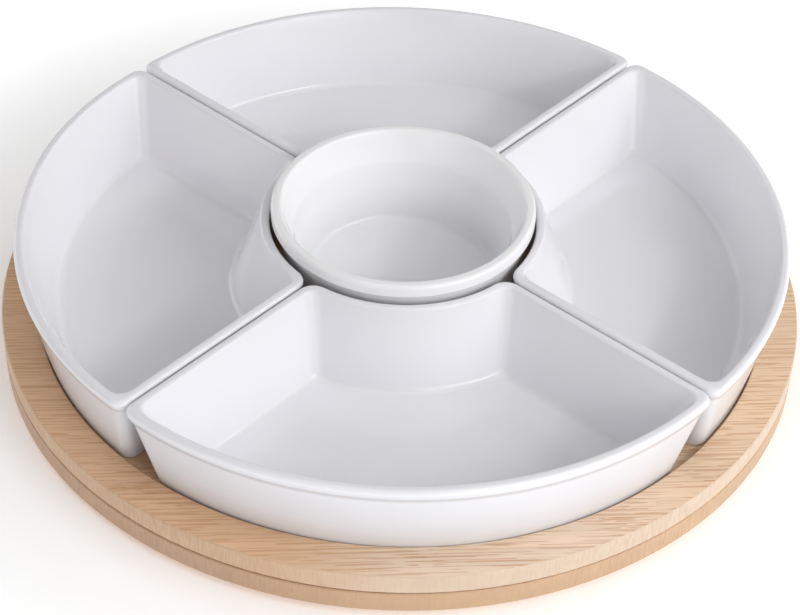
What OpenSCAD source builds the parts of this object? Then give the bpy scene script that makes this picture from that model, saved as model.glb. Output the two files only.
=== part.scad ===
// Turntable serving set: a two-plate bamboo tray on a ring bearing, four quarter-ring porcelain dishes
// and a round dip bowl. Millimetres, +Z up. The origin is on the table, under the tray's centre.
// The dishes lie on the X and Y axes.

/* [Tray] */
// Diameter of both bamboo plates
tray_d = 350; // [346:1:380]
// Thickness of the lower plate
base_t = 9.7; // [9:0.1:14]
// Thickness of the upper plate
turntable_t = 9.4; // [9:0.1:14]
// Gap between the plates
plate_gap = 0.6; // [0.4:0.1:1.5]
// Diameter of the recess that the dishes stand in
recess_d = 318; // [318:0.5:325]
// Depth of the recess
recess_depth = 3.5; // [2:0.1:4]
// Radius that eases the plates' edges
edge_r = 0.5; // [0.3:0.1:2]

/* [Feet] */
// Diameter of a rubber foot
foot_d = 22; // [12:1:30]
// Height of a rubber foot
foot_h = 3; // [2:0.5:6]
// Diameter of the circle that the feet stand on
foot_circle_d = 296; // [200:1:310]

/* [Bearing] */
// Outer diameter of the outer ring
bearing_outer_d = 144; // [140:1:150]
// Bore of the inner ring
bearing_bore_d = 96; // [90:1:100]
// Height of each ring
ring_h = 5; // [4.4:0.1:5]
// Diameter of a ball
ball_d = 3; // [2.5:0.1:3]
// Number of balls
ball_count = 20; // [8:1:32]
// Diameter of the circle that the balls run on
ball_circle_d = 120; // [118:1:122]
// Depth of the bearing's pocket in the upper plate
upper_pocket_depth = 1.2; // [0.8:0.1:1.4]
// Diameter of the screwdriver hole in the lower plate
access_hole_d = 14; // [10:1:16]

/* [Dishes] */
// Distance from the tray's centre to the outermost point of a dish
dish_reach = 166.9; // [165:0.1:167]
// Radius of a dish's outer side
dish_arc_r = 162.1; // [158:0.1:165]
// Radius of a dish's inner side, round the bowl
dish_inner_r = 57.8; // [57.6:0.1:60]
// Gap between the rims of neighbouring dishes
dish_gap = 1; // [0.7:0.1:2]
// Height of a dish
dish_h = 41; // [36:0.5:46]
// How far the foot stands in from the rim on the curved sides
dish_foot_inset = 8.6; // [8.5:0.1:12]
// How far the foot stands in from the rim on the straight sides
dish_side_foot_inset = 7; // [6:0.1:12]
// How far the inside floor stands in from the rim
dish_floor_inset = 16.6; // [14:0.1:18]
// Thickness of the inside floor over the foot's underside
dish_floor_t = 5.8; // [5:0.1:7]
// Width of the rim
rim_w = 4; // [3.6:0.1:5]
// Height of the band under the rim
lip_h = 4.6; // [4:0.1:7]

/* [Bowl] */
// Diameter of the bowl's rim
bowl_d = 114.4; // [110:0.1:114.6]
// Height of the bowl
bowl_h = 48.8; // [44:0.1:54]
// Inside diameter of the bowl's floor
bowl_floor_d = 86.4; // [80:0.1:88]
// Diameter of the inner shoulder under the rim
bowl_shoulder_d = 95; // [92:0.1:97]
// Depth of the inner shoulder under the rim
bowl_shoulder_depth = 14; // [11:0.1:16]

/* [Hidden] */
$fn = 96;

// Heights
base_bottom = foot_h;
base_top = base_bottom + base_t;
turntable_bottom = base_top + plate_gap;
turntable_top = turntable_bottom + turntable_t;
recess_floor = turntable_top - recess_depth;
tray_r = tray_d / 2;
recess_corner_r = 1.2;

// Bearing: the inner ring stands above the outer one by the gap between the plates
inner_ring_top = turntable_bottom + upper_pocket_depth;
inner_ring_bottom = inner_ring_top - ring_h;
outer_ring_top = inner_ring_top - plate_gap;
outer_ring_bottom = outer_ring_top - ring_h;
ball_z = (outer_ring_top + inner_ring_bottom) / 2;
ball_r = ball_d / 2;
ball_circle_r = ball_circle_d / 2;
ball_play = 0.1;
race_gap = 1.4;
cage_t = 0.6;
cage_h = ball_d + 0.8;
pocket_play = 0.5;
outer_pocket_r = bearing_outer_d / 2 + pocket_play;

// Screws
screw_r = 1.5;
screw_head_r = 2.9;
screw_head_h = 1.6;
screw_l = 8.6;
screw_play = 0.2;
screw_count = 4;
cross_w = 0.7;
cross_depth = 1;
outer_screw_r = (ball_circle_r + race_gap / 2 + bearing_outer_d / 2) / 2;
inner_screw_r = (ball_circle_r - race_gap / 2 + bearing_bore_d / 2) / 2;

// Dishes
dish_top = recess_floor + dish_h;
dish_floor = recess_floor + dish_floor_t;
dish_centre_x = dish_reach - dish_arc_r;
side_angle = 45;
foot_w = 4;
foot_edge_r = 0.8;
foot_recess = 1.4;
lip_lean = 1.2;
lip_step = 0.8;
lip_slope = 0.2;
lip_edge_r = 0.8;
rim_outer_r = 1.9;
rim_inner_r = 1.5;
floor_fillet_r = 4;
floor_flat = 6;
lip_corner_r = [5, 7.5];
inside_corner_r = [6, 5.5];
arc_steps = 11;
corner_steps = 4;
inner_arc_steps = 5;

// Bowl
bowl_r = bowl_d / 2;
bowl_top = recess_floor + bowl_h;
bowl_floor_t = 5.8;
bowl_lip_h = 5.4;
bowl_lip_step = 1.4;
bowl_lip_slope = 0.6;
bowl_shoulder_r = 25;
bowl_rim_w = 4.4;
bowl_wall_t = 5;
bowl_foot_r = bowl_floor_d / 2 + bowl_wall_t - 1;

function unit(v) = v / norm(v);
function turn_between(a, b) = b - a > 180 ? b - a - 360 : b - a < -180 ? b - a + 360 : b - a;

// Arc of n steps that rounds the corner at b, on the path from a to c
function corner_arc(a, b, c, r, n) =
    let (u = unit(a - b), v = unit(c - b), half = acos(u * v) / 2)
    let (m = b + unit(u + v) * r / sin(half), p = b + u * r / tan(half), q = b + v * r / tan(half))
    let (start = atan2(p[1] - m[1], p[0] - m[0]), end = atan2(q[1] - m[1], q[0] - m[0]))
    [for (k = [0:n]) m + r * [for (f = [0, -90]) cos(start + f + turn_between(start, end) * k / n)]];

function flat(p) = [p[0], p[1]];

// Open or closed path of [x, z, corner radius], with each corner that has a radius turned into an arc
function rounded(path, steps) =
    let (count = len(path))
    [for (i = [0:count - 1])
        each path[i][2] == 0 ? [flat(path[i])] :
            corner_arc(flat(path[(i + count - 1) % count]), flat(path[i]), flat(path[(i + 1) % count]),
                       path[i][2], path[i][2] < 1 ? 1 : steps)];

function arc_points(centre, r, from, to, first, n) =
    [for (k = [first:n]) centre + r * [cos(from + (to - from) * k / n), sin(from + (to - from) * k / n)]];

// Where a line parallel to a dish's side, at this distance inside it, crosses a circle
function side_crossing(inside, centre_x, r) =
    let (along = [cos(side_angle), sin(side_angle)], across = [sin(side_angle), -cos(side_angle)])
    let (b = across * inside - [centre_x, 0], half = b * along)
    across * inside + along * (sqrt(half * half - b * b + r * r) - half);

// Plan outline of a dish, moved in by inset on the arcs and by side_inset on the straight sides:
// outer arc, outer corner, side, inner corner, inner arc
function dish_outline(inset, side_inset, outer_r, inner_r) =
    let (side = dish_gap / 2 + side_inset, side_normal = side_angle + 90)
    let (p = side_crossing(side + outer_r, dish_centre_x, dish_arc_r - inset - outer_r))
    let (q = side_crossing(side + inner_r, 0, dish_inner_r + inset + inner_r))
    let (p_angle = atan2(p[1], p[0] - dish_centre_x), q_angle = atan2(q[1], q[0]))
    let (half = concat(
        arc_points([dish_centre_x, 0], dish_arc_r - inset, 0, p_angle, 0, arc_steps),
        arc_points(p, outer_r, p_angle, side_normal, 1, corner_steps),
        arc_points(q, inner_r, side_normal, q_angle + 180, 0, corner_steps),
        arc_points([0, 0], dish_inner_r + inset, q_angle, 0, 1, inner_arc_steps)))
    concat(half, [for (i = [len(half) - 2:-1:1]) [half[i][0], -half[i][1]]]);

// Inset of the sharp corner that a leaning band makes with the top, so that its rounding reaches inset 0
function rim_corner(height) =
    let (lean = atan(lip_lean / height))
    -rim_outer_r * (1 / cos(lean) + tan(lean) - 1);

// Section of a dish's wall as [inset, z]: foot, outer wall, band, rim, inner wall and floor
dish_section = let (foot_inner = dish_foot_inset + foot_w, lip_z = dish_top - lip_h, rim = rim_corner(lip_h))
    rounded([
        [foot_inner + foot_recess, recess_floor + foot_recess, 0],
        [foot_inner, recess_floor, 0],
        [dish_foot_inset, recess_floor, foot_edge_r],
        [rim + lip_lean + lip_step, lip_z - lip_slope, 0],
        [rim + lip_lean, lip_z, lip_edge_r],
        [rim, dish_top, rim_outer_r],
        [rim_w, dish_top, rim_inner_r],
        [dish_floor_inset, dish_floor, floor_fillet_r],
        [dish_floor_inset + floor_flat, dish_floor, 0]], 3);

// Inset of a row on the straight sides: less than on the arcs outside the rim, and the same inside it
function side_inset(inset, past_rim) =
    past_rim ? inset :
        inset - min(inset, dish_foot_inset) * (1 - dish_side_foot_inset / dish_foot_inset);

// Plan corner radii of a row: the outside keeps the rim's, and they change across the rim to the inside's
function corner_radii(inset, past_rim) =
    let (f = past_rim ? min(1, inset / rim_w) : 0)
    lip_corner_r * (1 - f) + inside_corner_r * f;

// Closed skin through rings of equal point counts, capped at both ends
module skin(rings) {
    n = len(rings[0]);
    last = len(rings) - 1;
    points = [for (ring = rings) each ring];
    walls = [for (j = [0:last - 1], i = [0:n - 1], upper = [false, true])
        let (a = j * n + i, b = j * n + (i + 1) % n)
        upper ? [a, b + n, b] : [a, a + n, b + n]];
    caps = [[for (i = [0:n - 1]) i], [for (i = [n - 1:-1:0]) last * n + i]];
    polyhedron(points, concat(walls, caps));
}

module dish(angle) {
    insets = [for (p = dish_section) p[0]];
    rim_row = search(min(insets), insets)[0];
    color("#f3f4f6")
        rotate(angle)
        skin([for (i = [0:len(dish_section) - 1])
            let (p = dish_section[i], r = corner_radii(p[0], i > rim_row))
            [for (q = dish_outline(p[0], side_inset(p[0], i > rim_row), r[0], r[1])) [q[0], q[1], p[1]]]]);
}

module ring_of(path, steps = 3) {
    rotate_extrude($fn = 180) polygon(rounded(path, steps));
}

module around(r, count, start = 0) {
    for (k = [0:count - 1]) rotate(start + k * 360 / count) translate([r, 0, 0]) children();
}

module base_plate() {
    color("#d9b48c")
        difference() {
            ring_of([
                [0, base_bottom, 0],
                [tray_r, base_bottom, edge_r],
                [tray_r, base_top, edge_r],
                [outer_pocket_r, base_top, 0],
                [outer_pocket_r, outer_ring_bottom, 0],
                [0, outer_ring_bottom, 0]]);
            translate([inner_screw_r, 0, base_bottom - 1])
                cylinder(d = access_hole_d, h = base_t);
            around(outer_screw_r, screw_count, 45)
                translate([0, 0, outer_ring_top - screw_l])
                cylinder(r = screw_r + screw_play / 4, h = screw_l);
        }
}

module turntable_plate() {
    color("#e3c29b")
        difference() {
            ring_of([
                [0, inner_ring_top, 0],
                [outer_pocket_r, inner_ring_top, 0],
                [outer_pocket_r, turntable_bottom, 0],
                [tray_r, turntable_bottom, edge_r],
                [tray_r, turntable_top, edge_r],
                [recess_d / 2, turntable_top, edge_r],
                [recess_d / 2, recess_floor, recess_corner_r],
                [0, recess_floor, 0]]);
            around(inner_screw_r, screw_count)
                translate([0, 0, inner_ring_bottom])
                cylinder(r = screw_r + screw_play / 4, h = screw_l);
        }
}

// Ring of the bearing, with its ball groove and countersunk screw holes that open at head_z
module bearing_ring(inner, outer, bottom, screw_circle_r, head_z, start) {
    difference() {
        rotate_extrude($fn = 180)
            translate([inner, bottom])
            square([outer - inner, ring_h]);
        rotate_extrude($fn = 180)
            translate([ball_circle_r, ball_z])
            circle(r = ball_r + ball_play, $fn = 48);
        around(screw_circle_r, screw_count, start)
            screw_hole(head_z, head_z > bottom ? -1 : 1);
    }
}

// Clearance hole for a countersunk screw; the shank points up if way is 1 and down if it is -1
module screw_hole(head_z, way) {
    translate([0, 0, head_z])
        mirror([0, 0, way > 0 ? 0 : 1]) {
            translate([0, 0, -0.01])
                cylinder(r1 = screw_head_r + screw_play, r2 = screw_r + screw_play, h = screw_head_h + 0.01);
            cylinder(r = screw_r + screw_play, h = ring_h + 1);
        }
}

module screw(head_z, way) {
    translate([0, 0, head_z])
        mirror([0, 0, way > 0 ? 0 : 1])
        difference() {
            union() {
                cylinder(r1 = screw_head_r, r2 = screw_r, h = screw_head_h);
                cylinder(r = screw_r, h = screw_l - 1);
                translate([0, 0, screw_l - 1])
                    cylinder(r1 = screw_r, r2 = 0.4, h = 0.9);
            }
            for (a = [0, 90])
                rotate(a)
                translate([-screw_r, -cross_w / 2, -0.01])
                cube([2 * screw_r, cross_w, cross_depth]);
        }
}

module bearing_outer_ring() {
    color("silver")
        bearing_ring(ball_circle_r + race_gap / 2, bearing_outer_d / 2, outer_ring_bottom,
                     outer_screw_r, outer_ring_top, 45);
}

module bearing_inner_ring() {
    color("gainsboro")
        bearing_ring(bearing_bore_d / 2, ball_circle_r - race_gap / 2, inner_ring_bottom,
                     inner_screw_r, inner_ring_bottom, 0);
}

module ball_cage() {
    color("ivory")
        difference() {
            rotate_extrude($fn = 180)
                translate([ball_circle_r - cage_t / 2, ball_z - cage_h / 2])
                square([cage_t, cage_h]);
            around(ball_circle_r, ball_count)
                translate([0, 0, ball_z])
                rotate([0, 90, 0])
                cylinder(r = ball_r + ball_play, h = 4 * cage_t, center = true, $fn = 48);
        }
}

module bearing_balls() {
    color("lightsteelblue")
        around(ball_circle_r, ball_count)
        translate([0, 0, ball_z])
        sphere(r = ball_r, $fn = 48);
}

module outer_ring_screws() {
    color("dimgray")
        around(outer_screw_r, screw_count, 45) screw(outer_ring_top, -1);
}

module inner_ring_screws() {
    color("dimgray")
        around(inner_screw_r, screw_count) screw(inner_ring_bottom, 1);
}

module foot(angle) {
    foot_taper = 1;
    color("#3a3a3c")
        rotate(angle)
        translate([foot_circle_d / 2, 0, 0])
        ring_of([
            [0, 0, 0],
            [foot_d / 2 - foot_taper, 0, 0.8],
            [foot_d / 2, foot_h, 0],
            [0, foot_h, 0]], 2);
}

module dip_bowl() {
    lip_z = bowl_top - bowl_lip_h;
    wall_r = bowl_r - bowl_lip_step;
    floor_z = recess_floor + bowl_floor_t;
    color("#f3f4f6")
        ring_of([
            [0, recess_floor + foot_recess, 0],
            [bowl_foot_r - foot_w - foot_recess, recess_floor + foot_recess, 0],
            [bowl_foot_r - foot_w, recess_floor, 0],
            [bowl_foot_r, recess_floor, foot_edge_r],
            [wall_r, lip_z - bowl_lip_slope, 0.8],
            [bowl_r, lip_z, 0.6],
            [bowl_r, bowl_top, rim_outer_r],
            [bowl_r - bowl_rim_w, bowl_top, rim_inner_r],
            [bowl_shoulder_d / 2, bowl_top - bowl_shoulder_depth, bowl_shoulder_r],
            [bowl_floor_d / 2, floor_z, floor_fillet_r],
            [0, floor_z, 0]], 4);
}

base_plate();
turntable_plate();
bearing_outer_ring();
bearing_inner_ring();
ball_cage();
bearing_balls();
outer_ring_screws();
inner_ring_screws();
foot(225);  // foot_front_left
foot(315);  // foot_front_right
foot(135);  // foot_back_left
foot(45);  // foot_back_right
dish(270);  // dish_front
dish(0);  // dish_right
dish(90);  // dish_back
dish(180);  // dish_left
dip_bowl();
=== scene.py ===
"""Looks of the turntable serving set: glazed porcelain, bamboo boards, and the bearing and feet.

Everything is in metres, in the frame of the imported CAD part. The porcelain is lofted here with finer
curves and stands for its CAD nodes. The other nodes keep their CAD shape and get their finish here.
"""

import math

import bpy
from mathutils import Matrix, Vector, noise


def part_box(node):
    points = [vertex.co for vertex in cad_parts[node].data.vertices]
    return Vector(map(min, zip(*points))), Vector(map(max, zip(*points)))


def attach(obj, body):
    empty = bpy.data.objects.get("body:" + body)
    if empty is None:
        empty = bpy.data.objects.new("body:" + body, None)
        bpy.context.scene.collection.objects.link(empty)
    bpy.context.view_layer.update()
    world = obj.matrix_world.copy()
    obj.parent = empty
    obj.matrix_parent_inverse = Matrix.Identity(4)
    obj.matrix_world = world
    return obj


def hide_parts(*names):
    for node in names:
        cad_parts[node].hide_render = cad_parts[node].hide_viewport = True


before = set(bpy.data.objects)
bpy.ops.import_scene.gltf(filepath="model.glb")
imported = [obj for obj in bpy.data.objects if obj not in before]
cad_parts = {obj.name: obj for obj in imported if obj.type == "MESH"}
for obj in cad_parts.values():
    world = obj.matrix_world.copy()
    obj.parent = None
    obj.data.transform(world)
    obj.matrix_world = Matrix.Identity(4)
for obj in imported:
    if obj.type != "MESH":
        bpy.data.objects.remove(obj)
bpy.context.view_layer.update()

MM = 0.001

# ---------------------------------------------------------------- sizes

# Heights and reaches, from the frame
dish_low, dish_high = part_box("dish_right")
bowl_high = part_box("dip_bowl")[1]
plate_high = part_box("turntable_plate")[1]
base_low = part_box("base_plate")[0]
recess_floor = dish_low.z
tray_r = plate_high.x

# Dishes, in plan. A dish opens along +X here, and each is turned to its place.
DISH_REACH = dish_high.x
DISH_ARC_R = 162.1 * MM
DISH_INNER_R = 57.8 * MM
DISH_GAP = 1.0 * MM
SIDE_ANGLE = math.radians(45)
OUTER_CORNERS = (5.0 * MM, 7.5 * MM)
INSIDE_CORNERS = (6.0 * MM, 5.5 * MM)
DISH_ANGLES = {"dish_right": 0, "dish_back": 90, "dish_left": 180, "dish_front": 270}

# Dishes, in section. An inset is how far a wall stands in from the rim, on the arcs or on the sides.
DISH_FOOT_INSET = 8.6 * MM
DISH_SIDE_FOOT_INSET = 7.0 * MM
DISH_FLOOR_INSET = 16.6 * MM
DISH_FLOOR_T = 5.8 * MM
DISH_LIP_H = 4.6 * MM
LIP_LEAN = 1.2 * MM
DISH_LIP_STEP = 0.8 * MM
DISH_LIP_SLOPE = 0.2 * MM
DISH_LIP_EDGE_R = 0.8 * MM
RIM_W = 4.0 * MM
RIM_OUTER_R = 1.9 * MM
RIM_INNER_R = 1.5 * MM

# Foot rings and floors of dishes and bowl alike. FLOOR_FLAT is the flat that is drawn past a fillet,
# and BARE_H is how far up the bare clay of a foot ring reaches.
FOOT_W = 4.0 * MM
FOOT_RECESS = 1.4 * MM
FOOT_EDGE_R = 0.8 * MM
FOOT_INNER_EDGE_R = 0.5 * MM
UNDERSIDE_FILLET_R = 1.0 * MM
FLOOR_FILLET_R = 4.0 * MM
FLOOR_FLAT = 6.0 * MM
BARE_H = 0.25 * MM

# Bowl
BOWL_LIP_H = 5.4 * MM
BOWL_LIP_STEP = 1.4 * MM
BOWL_LIP_SLOPE = 0.6 * MM
BOWL_LIP_STEP_R = 0.8 * MM
BOWL_LIP_EDGE_R = 0.6 * MM
BOWL_RIM_W = 4.4 * MM
BOWL_SHOULDER_R = 47.5 * MM
BOWL_SHOULDER_DEPTH = 14.0 * MM
BOWL_SHOULDER_ROUND = 10.0 * MM
BOWL_FLOOR_R = 43.2 * MM
BOWL_FOOT_R = 47.2 * MM

# Mesh resolution
ARC_STEPS = 44
CORNER_STEPS = 9
SIDE_STEPS = 14
INNER_ARC_STEPS = 18
ROUNDING_STEPS = 7
CAP_RINGS = 8
CAP_CENTRE = 1.06
BOWL_STEPS = 192
LONGEST_ROW = 3.5 * MM

# Slight unevenness of cast and glazed porcelain. The shifts set its X, Y and Z apart in the noise, which
# is read one number at a time: the call that gives all three differs from one run to the next.
WAVE_SIZE = 45 * MM
WAVE_DEPTH = 0.12 * MM
WAVE_SHIFTS = ((9.3, -1.5, -8.0), (0.0, 0.0, 0.0), (6.3, 0.2, -2.7))


# ---------------------------------------------------------------- outlines and sections

def corner_arc(a, b, c, radius, steps):
    """Points of the arc that rounds the corner at b, on the path from a to c."""
    u = (a - b).normalized()
    v = (c - b).normalized()
    half = u.angle(v) / 2
    middle = b + (u + v).normalized() * radius / math.sin(half)
    start = b + u * radius / math.tan(half) - middle
    end = b + v * radius / math.tan(half) - middle
    turn = start.angle_signed(end)
    first = math.atan2(start.y, start.x)
    angles = [first - turn * k / steps for k in range(steps + 1)]
    return [middle + radius * Vector((math.cos(t), math.sin(t))) for t in angles]


def rounded(path):
    """Open path of (x, z, corner radius), with an arc for each corner that has a radius."""
    corners = [Vector(p[:2]) for p in path]
    points = [corners[0]]
    for before, here, after, (_, _, radius) in zip(corners, corners[1:], corners[2:], path[1:]):
        points += corner_arc(before, here, after, radius, ROUNDING_STEPS) if radius else [here]
    return points + [corners[-1]]


def with_rows(points):
    """The same path with points added along its longer straight runs."""
    rows = [points[0]]
    for a, b in zip(points, points[1:]):
        count = max(1, math.ceil((b - a).length / LONGEST_ROW))
        rows += [a.lerp(b, k / count) for k in range(1, count + 1)]
    return rows


def arc_points(centre_x, radius, start, end, steps):
    """Points of an arc about (centre_x, 0), both ends included."""
    angles = [start + (end - start) * k / steps for k in range(steps + 1)]
    return [Vector((centre_x + radius * math.cos(t), radius * math.sin(t))) for t in angles]


def side_crossing(inside, centre_x, radius):
    """Where a parallel of a dish's side, this far inside it, crosses a circle about (centre_x, 0)."""
    along = Vector((math.cos(SIDE_ANGLE), math.sin(SIDE_ANGLE)))
    across = Vector((math.sin(SIDE_ANGLE), -math.cos(SIDE_ANGLE))) * inside
    offset = across - Vector((centre_x, 0))
    half = offset.dot(along)
    return across + along * (math.sqrt(half * half - offset.dot(offset) + radius * radius) - half)


def dish_outline(inset, side_inset, corners):
    """Closed plan outline of a dish, moved in by these insets on its arcs and on its sides."""
    outer_r, inner_r = corners
    centre_x = DISH_REACH - DISH_ARC_R
    side = DISH_GAP / 2 + side_inset
    normal = SIDE_ANGLE + math.pi / 2
    p = side_crossing(side + outer_r, centre_x, DISH_ARC_R - inset - outer_r)
    q = side_crossing(side + inner_r, 0, DISH_INNER_R + inset + inner_r)
    p_angle = math.atan2(p.y, p.x - centre_x)
    q_angle = math.atan2(q.y, q.x)
    outer = arc_points(centre_x, DISH_ARC_R - inset, 0, p_angle, ARC_STEPS)
    outer_corner = [p + a for a in arc_points(0, outer_r, p_angle, normal, CORNER_STEPS)]
    inner_corner = [q + a for a in arc_points(0, inner_r, normal, q_angle + math.pi, CORNER_STEPS)]
    start, end = outer_corner[-1], inner_corner[0]
    straight = [start.lerp(end, k / SIDE_STEPS) for k in range(1, SIDE_STEPS)]
    inner = arc_points(0, DISH_INNER_R + inset, q_angle, 0, INNER_ARC_STEPS)
    half = outer + outer_corner[1:] + straight + inner_corner + inner[1:]
    return half + [Vector((v.x, -v.y)) for v in half[-2:0:-1]]


def dish_section():
    """Section of a dish's wall as (inset, z): from under its floor, round the rim, to its floor."""
    foot_inner = DISH_FOOT_INSET + FOOT_W
    under = recess_floor + FOOT_RECESS
    lip_z = dish_high.z - DISH_LIP_H
    floor_z = recess_floor + DISH_FLOOR_T

    # The sharp corner of the leaning rim lies this far outside its rounding, which ends at inset 0
    lean = math.atan2(LIP_LEAN, DISH_LIP_H)
    rim = -RIM_OUTER_R * (1 / math.cos(lean) + math.tan(lean) - 1)
    return with_rows(rounded([
        (foot_inner + FOOT_RECESS + FLOOR_FLAT, under, 0),
        (foot_inner + FOOT_RECESS, under, UNDERSIDE_FILLET_R),
        (foot_inner, recess_floor, FOOT_INNER_EDGE_R),
        (DISH_FOOT_INSET, recess_floor, FOOT_EDGE_R),
        (rim + LIP_LEAN + DISH_LIP_STEP, lip_z - DISH_LIP_SLOPE, 0),
        (rim + LIP_LEAN, lip_z, DISH_LIP_EDGE_R),
        (rim, dish_high.z, RIM_OUTER_R),
        (RIM_W, dish_high.z, RIM_INNER_R),
        (DISH_FLOOR_INSET, floor_z, FLOOR_FILLET_R),
        (DISH_FLOOR_INSET + FLOOR_FLAT, floor_z, 0)]))


def bowl_section():
    """Section of the bowl as (radius, z): from under its floor, round the rim, to its floor."""
    under = recess_floor + FOOT_RECESS
    top = bowl_high.z
    rim_r = bowl_high.x
    lip_z = top - BOWL_LIP_H
    floor_z = recess_floor + DISH_FLOOR_T
    foot_inner = BOWL_FOOT_R - FOOT_W
    return with_rows(rounded([
        (foot_inner - FOOT_RECESS - FLOOR_FLAT, under, 0),
        (foot_inner - FOOT_RECESS, under, UNDERSIDE_FILLET_R),
        (foot_inner, recess_floor, FOOT_INNER_EDGE_R),
        (BOWL_FOOT_R, recess_floor, FOOT_EDGE_R),
        (rim_r - BOWL_LIP_STEP, lip_z - BOWL_LIP_SLOPE, BOWL_LIP_STEP_R),
        (rim_r, lip_z, BOWL_LIP_EDGE_R),
        (rim_r, top, RIM_OUTER_R),
        (rim_r - BOWL_RIM_W, top, RIM_INNER_R),
        (BOWL_SHOULDER_R, top - BOWL_SHOULDER_DEPTH, BOWL_SHOULDER_ROUND),
        (BOWL_FLOOR_R, floor_z, FLOOR_FILLET_R),
        (BOWL_FLOOR_R - FLOOR_FLAT, floor_z, 0)]))


# ---------------------------------------------------------------- meshes

def uneven(point, seed):
    """A point of the porcelain, moved by its waviness: none at the foot, most at the rim, never up."""
    share = (point.z - recess_floor) / (dish_high.z - recess_floor)
    place = point / WAVE_SIZE + Vector((seed, 2.7 * seed, -1.3 * seed))
    wave = Vector([noise.noise(place + Vector(shift)) for shift in WAVE_SHIFTS])
    wave.z = -0.5 * abs(wave.z)
    return point + wave * WAVE_DEPTH * max(0.0, min(1.0, share))


def shrunk(ring, centre, share):
    """A ring drawn in by this share of the way to the centre, at its own height."""
    return [p.lerp(Vector((*centre, p.z)), share) for p in ring]


def add_object(name, data):
    """New object in the scene, with this mesh, light or camera."""
    thing = bpy.data.objects.new(name, data)
    bpy.context.scene.collection.objects.link(thing)
    return thing


def lofted(name, rings, centre, seed):
    """Closed mesh through rings of equal point counts, with rings that shrink to fill both ends."""
    first = [shrunk(rings[0], centre, k / CAP_RINGS) for k in range(CAP_RINGS - 1, 0, -1)]
    last = [shrunk(rings[-1], centre, k / CAP_RINGS) for k in range(1, CAP_RINGS)]
    rings = first + rings + last
    count = len(rings[0])
    points = [uneven(p, seed) for ring in rings for p in ring]
    faces = []
    for row in range(len(rings) - 1):
        for i in range(count):
            a = row * count + i
            b = row * count + (i + 1) % count
            faces.append((a, b, b + count, a + count))
    for row, flip in ((0, True), (len(rings) - 1, False)):
        tip = len(points)
        points.append(Vector((*centre, rings[row][0].z)))
        ends = [row * count + i for i in range(count)]
        for a, b in zip(ends, ends[1:] + ends[:1]):
            faces.append((b, a, tip) if flip else (a, b, tip))
    mesh = bpy.data.meshes.new(name)
    mesh.from_pydata(points, [], faces)
    mesh.shade_smooth()
    mesh.update()
    return add_object(name, mesh)


def place_porcelain(node, rings, centre, seed, glaze):
    """Porcelain piece that stands for a CAD node, glazed but for the ring that it stands on."""
    piece = lofted("porcelain_" + node, rings, centre, seed)
    mesh = piece.data
    mesh.materials.append(glaze)
    mesh.materials.append(bare_clay)
    for face in mesh.polygons:
        highest = max(mesh.vertices[v].co.z for v in face.vertices)
        face.material_index = 1 if highest < recess_floor + BARE_H else 0
    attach(piece, node)
    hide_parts(node)


def make_dish(node, seed):
    """One quarter-ring dish, in place."""
    section = dish_section()
    insets = [p.x for p in section]
    rim_row = insets.index(min(insets))
    side_gain = 1 - DISH_SIDE_FOOT_INSET / DISH_FOOT_INSET
    turned = Matrix.Rotation(math.radians(DISH_ANGLES[node]), 4, "Z")
    rings = []
    for row, p in enumerate(section):
        if row > rim_row:
            # Inside, the sides slope as the arcs do, and the corners change over the width of the rim
            share = min(1.0, p.x / RIM_W)
            side_inset = p.x
        else:
            # Outside, the sides stand steeper than the arcs
            share = 0.0
            side_inset = p.x - min(p.x, DISH_FOOT_INSET) * side_gain
        corners = [a + (b - a) * share for a, b in zip(OUTER_CORNERS, INSIDE_CORNERS)]
        outline = dish_outline(p.x, side_inset, corners)
        rings.append([turned @ Vector((q.x, q.y, p.y)) for q in outline])
    middle = turned @ Vector((DISH_INNER_R + DISH_REACH, 0, 0)) / 2
    place_porcelain(node, rings, middle.xy * CAP_CENTRE, seed, dish_glaze)


def make_bowl(seed):
    """The round bowl in the middle."""
    turns = [2 * math.pi * k / BOWL_STEPS for k in range(BOWL_STEPS)]
    circle = [(math.cos(t), math.sin(t)) for t in turns]
    rings = [[Vector((p.x * cos, p.x * sin, p.y)) for cos, sin in circle] for p in bowl_section()]
    place_porcelain("dip_bowl", rings, (0, 0), seed, bowl_glaze)


# ---------------------------------------------------------------- materials

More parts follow.
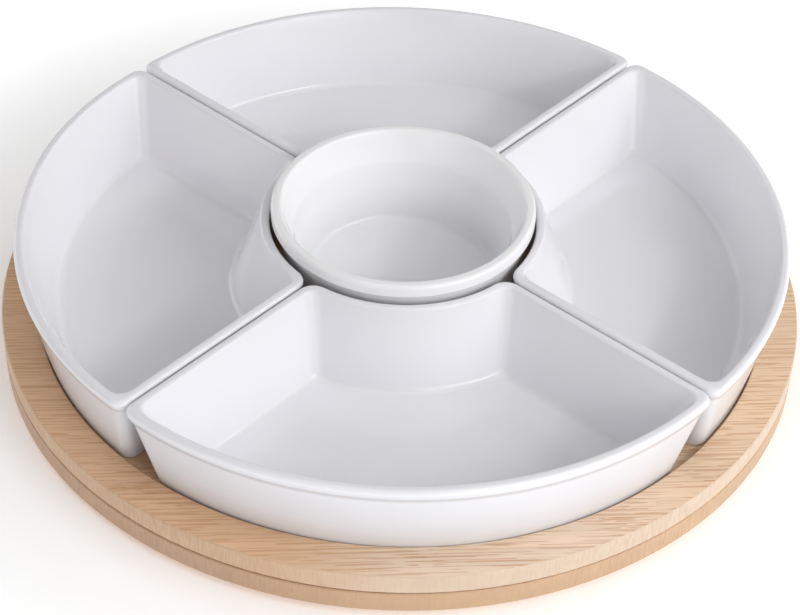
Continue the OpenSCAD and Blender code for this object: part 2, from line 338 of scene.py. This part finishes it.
class Finish:
    """A Principled material, with short calls for the nodes that pattern it. Lengths are in metres."""

    def __init__(self, name, **constants):
        self.material = bpy.data.materials.new(name)
        self.material.use_nodes = True
        self.tree = self.material.node_tree
        self.shader = self.tree.nodes["Principled BSDF"]
        for socket, value in constants.items():
            self.shader.inputs[socket.replace("_", " ")].default_value = value
        coordinates = self.add("ShaderNodeTexCoord")
        self.place = coordinates.outputs["Object"]
        self.normal = coordinates.outputs["Normal"]

    def add(self, kind, **settings):
        node = self.tree.nodes.new(kind)
        for key, value in settings.items():
            setattr(node, key, value)
        return node

    def plug(self, value, socket):
        """Links an output to the socket, or sets the socket to a plain value."""
        if isinstance(value, bpy.types.NodeSocket):
            self.tree.links.new(value, socket)
        else:
            socket.default_value = value

    def math(self, operation, a, b=0.0):
        node = self.add("ShaderNodeMath", operation=operation)
        self.plug(a, node.inputs[0])
        self.plug(b, node.inputs[1])
        return node.outputs[0]

    def axes(self, vector):
        node = self.add("ShaderNodeSeparateXYZ")
        self.plug(vector, node.inputs[0])
        return node.outputs

    def radius(self, x, y):
        """Distance from the vertical axis of the set."""
        squares = self.math("ADD", self.math("MULTIPLY", x, x), self.math("MULTIPLY", y, y))
        return self.math("SQRT", squares)

    def vector(self, x, y, z):
        node = self.add("ShaderNodeCombineXYZ")
        for value, socket in zip((x, y, z), node.inputs):
            self.plug(value, socket)
        return node.outputs[0]

    def scaled(self, vector, x, y, z):
        """The vector, measured in cells of this size."""
        node = self.add("ShaderNodeVectorMath", operation="MULTIPLY")
        self.plug(vector, node.inputs[0])
        self.plug((1 / x, 1 / y, 1 / z), node.inputs[1])
        return node.outputs[0]

    def noise(self, vector, detail=2.0, roughness=0.5):
        """Noise of which one cell is one unit of the vector."""
        node = self.add("ShaderNodeTexNoise")
        self.plug(vector, node.inputs["Vector"])
        self.plug(1.0, node.inputs["Scale"])
        self.plug(detail, node.inputs["Detail"])
        self.plug(roughness, node.inputs["Roughness"])
        return node.outputs["Fac"]

    def dice(self, value):
        """One random number from 0 to 1 for each whole value."""
        node = self.add("ShaderNodeTexWhiteNoise", noise_dimensions="1D")
        self.plug(value, node.inputs["W"])
        return node.outputs["Value"]

    def span(self, value, low, high, to_low=0.0, to_high=1.0, smooth=False):
        """Value carried from low..high to to_low..to_high, and held at those ends."""
        shape = "SMOOTHSTEP" if smooth else "LINEAR"
        node = self.add("ShaderNodeMapRange", interpolation_type=shape)
        self.plug(value, node.inputs["Value"])
        self.plug(low, node.inputs["From Min"])
        self.plug(high, node.inputs["From Max"])
        self.plug(to_low, node.inputs["To Min"])
        self.plug(to_high, node.inputs["To Max"])
        return node.outputs["Result"]

    def mix(self, share, a, b, blend="MIX"):
        node = self.add("ShaderNodeMix", data_type="RGBA", blend_type=blend, clamp_factor=True)
        self.plug(share, node.inputs["Factor"])
        self.plug(a, node.inputs[6])
        self.plug(b, node.inputs[7])
        return node.outputs[2]

    def shaded(self, colour, amount):
        """Colour multiplied by a number."""
        grey = self.vector(amount, amount, amount)
        return self.mix(1.0, colour, grey, "MULTIPLY")

    def bump(self, height, depth, strength):
        node = self.add("ShaderNodeBump")
        self.plug(strength, node.inputs["Strength"])
        self.plug(depth, node.inputs["Distance"])
        self.plug(height, node.inputs["Height"])
        self.plug(node.outputs["Normal"], self.shader.inputs["Normal"])

    def colour(self, value):
        self.plug(value, self.shader.inputs["Base Color"])

    def roughness(self, value):
        self.plug(value, self.shader.inputs["Roughness"])


def rgb(red, green, blue):
    """Colour from the values of 11 to 255 that a screen shows."""
    return (*(((c / 255 + 0.055) / 1.055) ** 2.4 for c in (red, green, blue)), 1.0)


def glaze_finish(name, low, high):
    """White glaze with faint waves and flecks: colour low on the floor, colour high up the walls. A
    lighter colour up the walls than on the floor is painted light.
    """
    f = Finish(name, IOR=1.5, Specular_IOR_Level=0.5)
    cloud = f.noise(f.scaled(f.place, 0.06, 0.06, 0.06), detail=2)
    fleck = f.noise(f.scaled(f.place, 0.0016, 0.0016, 0.0016), detail=1)
    x, y, z = f.axes(f.place)
    _, _, up = f.axes(f.normal)
    # Painted light: where high is lighter than low, as in the bowl, the walls are painted lighter than
    # the floor
    tone = f.mix(f.span(z, recess_floor + 6 * MM, recess_floor + 24 * MM), low, high)
    tone = f.shaded(tone, f.span(cloud, 0.3, 0.7, 0.985, 1.01))
    tone = f.mix(f.span(fleck, 0.78, 0.84, 0, 0.10), tone, rgb(206, 202, 195))

    # Painted shade: the outer walls, which face down a little, are painted slightly cooler and darker
    leaning = f.span(up, -0.12, -0.02, 1.0, 0.0)
    painted_outer_shade = f.math("MULTIPLY", leaning, f.span(f.radius(x, y), 0.10, 0.13))
    f.colour(f.mix(painted_outer_shade, tone, (0.92, 0.95, 0.965, 1), "MULTIPLY"))
    f.roughness(f.span(cloud, 0.3, 0.7, 0.05, 0.09))
    ripple = f.noise(f.scaled(f.place, 0.012, 0.012, 0.012), detail=2)
    f.bump(ripple, 0.05 * MM, 0.5)
    return f.material


def bare_clay_finish():
    """Unglazed fired clay under the foot rings."""
    f = Finish("bare_clay", IOR=1.45)
    grit = f.noise(f.scaled(f.place, 0.0007, 0.0007, 0.0007), detail=3)
    cloud = f.noise(f.scaled(f.place, 0.02, 0.02, 0.02))
    tone = f.mix(f.span(cloud, 0.3, 0.7), rgb(222, 214, 200), rgb(232, 226, 215))
    f.colour(f.mix(f.span(grit, 0.55, 0.75, 0, 0.35), tone, rgb(180, 170, 155)))
    f.roughness(f.span(grit, 0.3, 0.7, 0.75, 0.9))
    f.bump(grit, 0.1 * MM, 0.6)
    return f.material


def fibre_rows(f, x, y, row_w, run, presence, seed):
    """Dark fibre lines along X: 1 on a line, 0 beside it.

    There is one line in each row of width row_w across Y. It is broken into runs, which fade in where
    a noise goes through the two values of presence.
    """
    bends = f.vector(f.math("DIVIDE", x, 90 * MM), f.math("DIVIDE", y, 14 * MM), seed)
    sway = f.noise(bends, detail=1)
    rows = f.math("ADD", f.math("DIVIDE", y, row_w), f.math("MULTIPLY", sway, 0.5))
    row = f.math("FLOOR", rows)
    centre = f.span(f.dice(f.math("ADD", row, seed)), 0, 1, 0.3, 0.7)
    shift = f.math("MULTIPLY", f.dice(f.math("ADD", row, seed + 0.37)), 40.0)
    run_place = f.math("ADD", f.math("DIVIDE", x, run), shift)
    length = f.noise(f.vector(run_place, f.math("MULTIPLY", row, 5.3), seed), detail=0)
    there = f.span(length, *presence, smooth=True)
    off_centre = f.math("ABSOLUTE", f.math("SUBTRACT", f.math("FRACT", rows), centre))
    return f.math("MULTIPLY", there, f.span(off_centre, 0.05, 0.24, 1.0, 0.0, smooth=True))


def bamboo_finish(name, seed, face, pale_sheen, end, edge_left, edge):
    """Pressed bamboo: strips along X with dark fibre lines and knuckles, and hatched sawn edges.

    The flat sides go from face at the left over a paler middle tone to end at the right, and the edges
    from edge_left to edge. The paler tones towards the middle and the right, on the flat sides and the
    edges, are painted sheen.
    """
    f = Finish(name, IOR=1.45, Specular_IOR_Level=0.5)
    x, y, z = f.axes(f.place)
    to_right, _, up = f.axes(f.normal)

    # Strips lie side by side across Y, each with its own tone and its own place along the stem
    strip_w = 8.5 * MM
    across = f.math("ADD", f.math("DIVIDE", y, strip_w), seed)
    strip = f.math("FLOOR", across)
    own = f.dice(strip)
    own_shift = f.dice(f.math("ADD", strip, 31.7))
    joint = f.math("ABSOLUTE", f.math("SUBTRACT", f.math("FRACT", across), 0.5))
    own_place = f.vector(f.math("ADD", x, own_shift), y, f.math("ADD", z, seed))

    # Fibres: hair-fine grain all over, thin lines in close rows, and stronger ones further apart
    hair = f.noise(f.scaled(own_place, 45 * MM, 0.55 * MM, 0.55 * MM), detail=2, roughness=0.6)
    fine = fibre_rows(f, x, y, 1.7 * MM, 15 * MM, (0.40, 0.54), seed + 0.1)
    bold = fibre_rows(f, x, y, 2.9 * MM, 24 * MM, (0.44, 0.56), seed + 5.2)
    crowd = f.noise(f.scaled(own_place, 60 * MM, 12 * MM, 12 * MM), detail=1)
    crowd = f.span(crowd, 0.35, 0.65, 0.65, 1.0)
    crowd = f.math("MULTIPLY", crowd, f.span(x, -90 * MM, -20 * MM, 1.0, 0.8))

    # Knuckles: where the stem had a node, a patch of short dark dashes across the strip
    spacing = 230 * MM
    place = f.math("ADD", f.math("DIVIDE", x, spacing), f.math("MULTIPLY", own_shift, 7.0))
    from_knuckle = f.math("ABSOLUTE", f.math("SUBTRACT", f.math("FRACT", place), 0.5))
    knuckle = f.span(from_knuckle, 4 * MM / spacing, 11 * MM / spacing, 1.0, 0.0, smooth=True)
    dash = fibre_rows(f, x, y, 1.9 * MM, 6 * MM, (0.42, 0.52), seed + 9.4)
    dash = f.math("MULTIPLY", knuckle, dash)

    # Ground tone: painted sheen makes it paler from the left towards the middle and the right; it also
    # changes from strip to strip and with the grain
    rise = f.span(x, -65 * MM, 0, smooth=True)
    ground = f.mix(rise, face, pale_sheen)
    ground = f.mix(f.span(x, 75 * MM, 115 * MM, smooth=True), ground, end)
    tone = f.span(own, 0, 1, 0.96, 1.04)
    tone = f.math("MULTIPLY", tone, f.span(hair, 0.35, 0.65, 1.04, 0.95))
    tone = f.math("MULTIPLY", tone, f.span(joint, 0.46, 0.495, 1.0, 0.96))
    ground = f.shaded(ground, tone)
    burnt = tuple(c * k for c, k in zip(face, (0.74, 0.62, 0.50, 1)))
    lines = f.math("MAXIMUM", f.math("MULTIPLY", fine, 0.78), f.math("MULTIPLY", bold, 0.9))
    ground = f.mix(f.math("MULTIPLY", lines, crowd), ground, burnt)
    top = f.mix(f.math("MULTIPLY", dash, 0.75), ground, burnt)

    # Sawn edge: fibre ends show as fine upright ticks, and fade where the cut runs along the fibres
    tick_place = f.vector(x, y, f.math("ADD", z, seed))
    tick = f.noise(f.scaled(tick_place, 0.8 * MM, 0.8 * MM, 7 * MM), detail=1)
    patch = f.noise(f.scaled(f.place, 14 * MM, 14 * MM, 9 * MM), detail=1)
    across_cut = f.span(f.math("ABSOLUTE", to_right), 0.15, 0.5, 0.3, 1.0)
    tick = f.math("MULTIPLY", f.math("SUBTRACT", tick, 0.5), across_cut)
    # Painted sheen: the sawn edge is painted paler towards the middle and the right
    side = f.shaded(f.mix(rise, edge_left, edge), f.span(patch, 0.3, 0.7, 0.98, 1.05))
    side = f.mix(f.span(tick, -0.18, 0.18, 0.75, 0.0), side, (0.86, 0.78, 0.70, 1), "MULTIPLY")

    is_side = f.span(f.math("ABSOLUTE", up), 0.80, 0.97, 1.0, 0.0)
    edge_depth = 2 * MM
    at_edge = f.math("GREATER_THAN", f.radius(x, y), tray_r - edge_depth)
    is_side = f.math("MULTIPLY", is_side, at_edge)
    f.colour(f.mix(is_side, top, side))
    f.roughness(f.span(hair, 0.3, 0.7, 0.36, 0.48))
    grooves = f.math("ADD", f.math("MULTIPLY", lines, -1.0), f.math("MULTIPLY", hair, -0.4))
    f.bump(f.mix(is_side, grooves, tick), 0.05 * MM, 0.5)
    return f.material


def turned_metal_finish(name, tone, dark, roughness):
    """Metal turned on a lathe: fine rings about Z, and a satin shine."""
    f = Finish(name, Metallic=1.0)
    x, y, z = f.axes(f.place)
    profile = f.vector(f.radius(x, y), z, 0.0)
    rings = f.noise(f.scaled(profile, 0.0004, 0.0004, 1.0), detail=3)
    cloud = f.noise(f.scaled(f.place, 0.02, 0.02, 0.02), detail=2)
    f.colour(f.mix(f.span(rings, 0.3, 0.7), dark, tone))
    f.roughness(f.span(cloud, 0.3, 0.7, roughness - 0.06, roughness + 0.06))
    f.bump(rings, 0.02 * MM, 0.4)
    return f.material


def plated_finish(name, tone, dark, roughness, cell):
    """Plated or polished metal with fine scratches and a faint change of tone."""
    f = Finish(name, Metallic=1.0)
    cloud = f.noise(f.scaled(f.place, cell, cell, cell), detail=3)
    scratch = f.noise(f.scaled(f.place, cell * 2, cell / 8, cell / 8), detail=2)
    f.colour(f.mix(f.span(cloud, 0.3, 0.7), dark, tone))
    f.roughness(f.span(scratch, 0.35, 0.7, roughness, roughness + 0.1))
    f.bump(scratch, 0.01 * MM, 0.3)
    return f.material


def moulded_finish(name, tone, other, roughness, cell, depth):
    """Moulded rubber or plastic: an even fine texture and slight changes of tone."""
    f = Finish(name)
    texture = f.noise(f.scaled(f.place, cell, cell, cell), detail=2)
    cloud = f.noise(f.scaled(f.place, cell * 20, cell * 20, cell * 20), detail=2)
    f.colour(f.mix(f.span(cloud, 0.3, 0.7), tone, other))
    f.roughness(f.span(texture, 0.3, 0.7, roughness - 0.05, roughness + 0.05))
    f.bump(texture, depth, 0.5)
    return f.material


def finish_nodes(material, *nodes):
    """Gives CAD nodes their material."""
    for node in nodes:
        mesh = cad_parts[node].data
        mesh.materials.clear()
        mesh.materials.append(material)


# ---------------------------------------------------------------- stage, light and camera

VIEW_TURN = math.radians(4.514)
VIEW_RISE = math.radians(40.943)
VIEW_DISTANCE = 959.9 * MM
VIEW_ROLL = math.radians(1.922)
VIEW_LENS = 95.99
VIEW_SHIFT = (0.0004, 0.0106)

FLOOR_HALF = 12.0
WORLD_STRENGTH = 0.161
LIGHT_DISTANCE = 1.6

# Softboxes that face the set: turn about Z in degrees (0 is the front, 90 the right), rise above level
# in degrees, width and height in metres, and power in watts
SOFTBOXES = {
    "key": (42, 30, 1.5, 1.1, 7.2),
    "key_low": (25, 25, 1.2, 1.0, 3.4),
    "strip": (60, 34, 1.7, 0.14, 6.0),
    "side": (115, 28, 1.2, 1.2, 5.1),
    "back": (231, 18, 1.2, 0.8, 6.2),
    "front_left": (320, 15, 1.2, 0.6, 2.7),
    "top": (0, 80, 1.2, 1.2, 5.3),
}


def floor_finish():
    """Pale matt floor that glows softly, and less so near the set.

    It is clear from below and to shadow rays, so that the set's underside can be lit and looked at.
    """
    f = Finish("pale_floor", IOR=1.4, Specular_IOR_Level=0.2, Emission_Color=(1, 1, 1, 1))
    cloud = f.noise(f.scaled(f.place, 0.4, 0.4, 0.4), detail=2)
    f.colour(f.mix(f.span(cloud, 0.3, 0.7), (0.93, 0.93, 0.93, 1), (0.95, 0.95, 0.95, 1)))
    f.roughness(0.9)
    x, y, _ = f.axes(f.place)
    f.plug(f.span(f.radius(x, y), 0.18, 0.35, 0.2, 0.5), f.shader.inputs["Emission Strength"])
    below = f.add("ShaderNodeNewGeometry").outputs["Backfacing"]
    shadow = f.add("ShaderNodeLightPath").outputs["Is Shadow Ray"]
    clear = f.add("ShaderNodeBsdfTransparent").outputs[0]
    mixed = f.add("ShaderNodeMixShader")
    f.plug(f.math("MAXIMUM", below, shadow), mixed.inputs[0])
    f.plug(f.shader.outputs[0], mixed.inputs[1])
    f.plug(clear, mixed.inputs[2])
    f.plug(mixed.outputs[0], f.tree.nodes["Material Output"].inputs["Surface"])
    return f.material


def make_floor():
    """Square floor at the height of the feet's soles."""
    mesh = bpy.data.meshes.new("floor")
    corners = [(x * FLOOR_HALF, y * FLOOR_HALF, 0) for x, y in ((-1, -1), (1, -1), (1, 1), (-1, 1))]
    mesh.from_pydata(corners, [], [(0, 1, 2, 3)])
    mesh.materials.append(floor_finish())
    floor = add_object("floor", mesh)


def direction(turn, rise):
    """Unit vector away from the set, at this turn about Z and this rise above level, in radians."""
    level = math.cos(rise)
    return Vector((math.sin(turn) * level, -math.cos(turn) * level, math.sin(rise)))


def softbox(name, turn, rise, width, height, power, distance=LIGHT_DISTANCE):
    """Area light that faces the top of the tray from this turn and rise, in degrees."""
    light = bpy.data.lights.new(name, "AREA")
    light.shape = "RECTANGLE"
    light.size = width
    light.size_y = height
    light.energy = power
    away = direction(math.radians(turn), math.radians(rise))
    lamp = add_object(name, light)
    lamp.location = Vector((0, 0, plate_high.z)) + away * distance
    lamp.rotation_mode = "QUATERNION"
    lamp.rotation_quaternion = away.to_track_quat("Z", "Y")


def light_scene():
    """White surroundings, the softboxes, and a small one below for looks at the underside."""
    world = bpy.data.worlds.new("studio")
    world.use_nodes = True
    background = world.node_tree.nodes["Background"]
    background.inputs["Color"].default_value = (1, 1, 1, 1)
    background.inputs["Strength"].default_value = WORLD_STRENGTH
    bpy.context.scene.world = world
    for name, settings in SOFTBOXES.items():
        softbox(name, *settings)
    softbox("underside", 0, -90, 0.3, 0.3, 3.0, distance=1.0)


def make_camera():
    """Camera at the photo's angle, aimed at the middle of the base plate's underside."""
    data = bpy.data.cameras.new("camera")
    data.sensor_width = 36
    data.lens = VIEW_LENS
    data.shift_x, data.shift_y = VIEW_SHIFT
    data.clip_start, data.clip_end = 0.05, 100
    away = direction(-VIEW_TURN, VIEW_RISE)
    facing = away.to_track_quat("Z", "Y").to_matrix().to_4x4()
    camera = add_object("camera", data)
    camera.location = Vector((0, 0, base_low.z)) + away * VIEW_DISTANCE
    camera.rotation_euler = (facing @ Matrix.Rotation(VIEW_ROLL, 4, "Z")).to_euler()
    bpy.context.scene.camera = camera


# ---------------------------------------------------------------- build

dish_glaze = glaze_finish("dish_glaze", rgb(242, 241, 245), rgb(242, 241, 245))
# The bowl's lighter wall colour over its floor colour is painted light
bowl_glaze = glaze_finish("bowl_glaze", rgb(238, 238, 241), rgb(251, 251, 252))
bare_clay = bare_clay_finish()
for number, dish in enumerate(DISH_ANGLES, start=1):
    make_dish(dish, 10.0 * number)
make_bowl(60.0)

# The paler middle, right and edge tones given to both boards are painted sheen over their left tones
finish_nodes(bamboo_finish(
    "bamboo_top", 3.0,
    face=(0.765, 0.485, 0.295, 1),
    pale_sheen=(0.84, 0.65, 0.485, 1),
    end=(0.81, 0.585, 0.40, 1),
    edge_left=(0.70, 0.48, 0.315, 1),
    edge=(0.76, 0.61, 0.475, 1)), "turntable_plate")
finish_nodes(bamboo_finish(
    "bamboo_base", 17.0,
    face=(0.60, 0.37, 0.22, 1),
    pale_sheen=(0.66, 0.44, 0.28, 1),
    end=(0.66, 0.44, 0.28, 1),
    edge_left=(0.60, 0.40, 0.265, 1),
    edge=(0.66, 0.45, 0.29, 1)), "base_plate")
finish_nodes(turned_metal_finish(
    "turned_aluminium", tone=(0.78, 0.79, 0.80, 1), dark=(0.66, 0.67, 0.69, 1), roughness=0.32),
    "bearing_outer_ring", "bearing_inner_ring")
finish_nodes(plated_finish(
    "polished_steel", tone=(0.76, 0.77, 0.78, 1), dark=(0.70, 0.71, 0.73, 1), roughness=0.06,
    cell=4 * MM), "bearing_balls")
finish_nodes(plated_finish(
    "zinc_plated_steel", tone=(0.66, 0.66, 0.67, 1), dark=(0.55, 0.55, 0.57, 1), roughness=0.3,
    cell=2 * MM), "outer_ring_screws", "inner_ring_screws")
finish_nodes(moulded_finish(
    "nylon", tone=rgb(236, 232, 220), other=rgb(226, 221, 207), roughness=0.5,
    cell=0.6 * MM, depth=0.02 * MM), "ball_cage")
finish_nodes(moulded_finish(
    "rubber", tone=rgb(52, 52, 54), other=rgb(62, 62, 64), roughness=0.75,
    cell=0.5 * MM, depth=0.05 * MM),
    "foot_front_left", "foot_front_right", "foot_back_left", "foot_back_right")

make_floor()
light_scene()
make_camera()
bpy.context.scene.view_settings.view_transform = "Standard"
